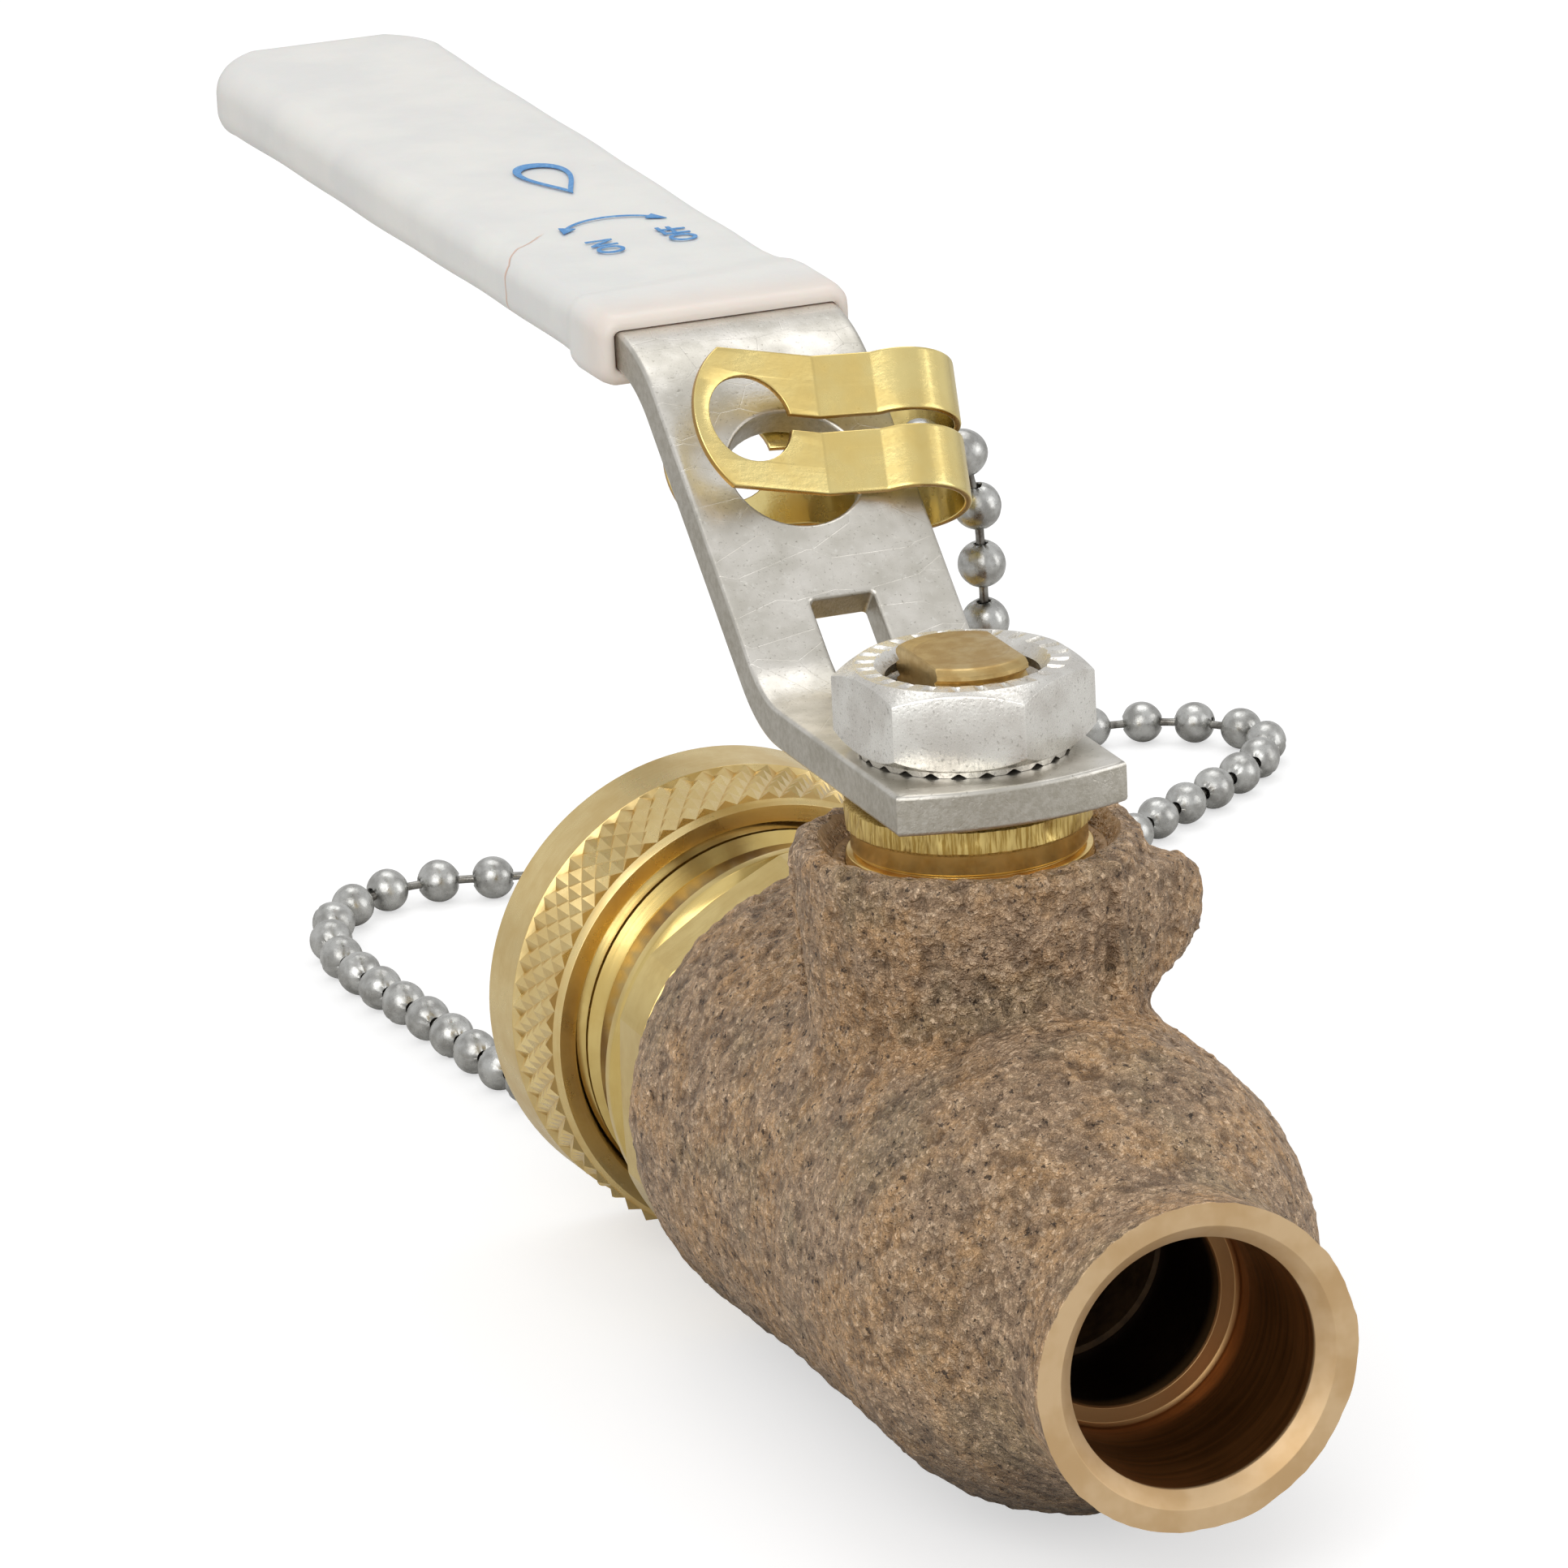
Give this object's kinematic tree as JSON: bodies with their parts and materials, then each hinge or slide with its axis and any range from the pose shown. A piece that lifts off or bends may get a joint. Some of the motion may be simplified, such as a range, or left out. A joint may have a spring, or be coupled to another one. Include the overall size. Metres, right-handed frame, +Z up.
{
  "type": "ball drain valve",
  "caption": "Quarter-turn ball drain valve with a solder cup inlet, hose-thread outlet, knurled cap on a bead chain and a cranked lever handle with a vinyl grip.",
  "frame": {"origin": "middle of the solder cup's bore, on the flow line; the ball's centre is 27.725 mm along +Y", "axes": "+Y along the flow line from the solder cup to the hose thread, +Z up the stem, the lever points to +Y when open"},
  "size_m": [0.0899, 0.1678, 0.0656],
  "materials": {
    "cast_bronze": "rough sand-cast bronze, machined at the cup",
    "ptfe": "smooth white PTFE",
    "ball_brass": "polished, plated",
    "retainer_brass": "machined, bright",
    "stem_brass": "machined",
    "gland_brass": "machined",
    "lever_steel": "tumbled stainless steel",
    "grip_vinyl": "satin dipped vinyl",
    "nut_zinc": "zinc plated",
    "cap_brass": "satin, knurled",
    "washer_rubber": "matte black",
    "rivet_steel": "nickel plated",
    "clip_brass": "rolled sheet, semi-gloss",
    "chain_beads": "nickel plated, fine wrinkles",
    "chain_links": "nickel plated"
  },
  "bodies": {
    "valve_body": {"body_casting": "cast_bronze", "seat_inlet": "ptfe", "seat_outlet": "ptfe", "hose_retainer": "retainer_brass", "retainer_seal": "ptfe", "stem_bearing": "ptfe", "stem_packing": "ptfe", "gland_screw": "gland_brass", "chain_beads_floor": "chain_beads", "chain_links_floor": "chain_links"},
    "handle": {"stem": "stem_brass", "lever": "lever_steel", "lever_grip": "grip_vinyl", "lever_nut": "nut_zinc", "chain_clip": "clip_brass", "chain_beads_handle": "chain_beads", "chain_links_handle": "chain_links"},
    "ball": {"ball": "ball_brass"},
    "cap_swivel": {"chain_rivet": "rivet_steel", "chain_beads_cap": "chain_beads", "chain_links_cap": "chain_links"},
    "cap": {"hose_cap": "cap_brass", "cap_washer": "washer_rubber"}
  },
  "joints": [
    {"name": "lever_turn", "type": "hinge", "parent": "valve_body", "child": "handle", "pos_m": [0, 0.02772, 0], "axis": [0, 0, -1], "range_deg": [0, 90]},
    {"name": "ball_turn", "type": "hinge", "parent": "valve_body", "child": "ball", "pos_m": [0, 0.02772, 0], "axis": [0, 0, -1], "range_deg": [0, 90]},
    {"name": "cap_travel", "type": "slide", "parent": "valve_body", "child": "cap_swivel", "axis": [0, 1, 0], "range_m": [0, 0.0089]},
    {"name": "cap_spin", "type": "hinge", "parent": "cap_swivel", "child": "cap", "pos_m": [0, 0.07773, 0], "axis": [0, 1, 0], "range_deg": [0, 1440]}
  ],
  "couplings": [
    {"joint": "ball_turn", "follows": "lever_turn", "ratio": 1},
    {"joint": "cap_travel", "follows": "cap_spin", "m_per_rad": 0.00035152}
  ]
}
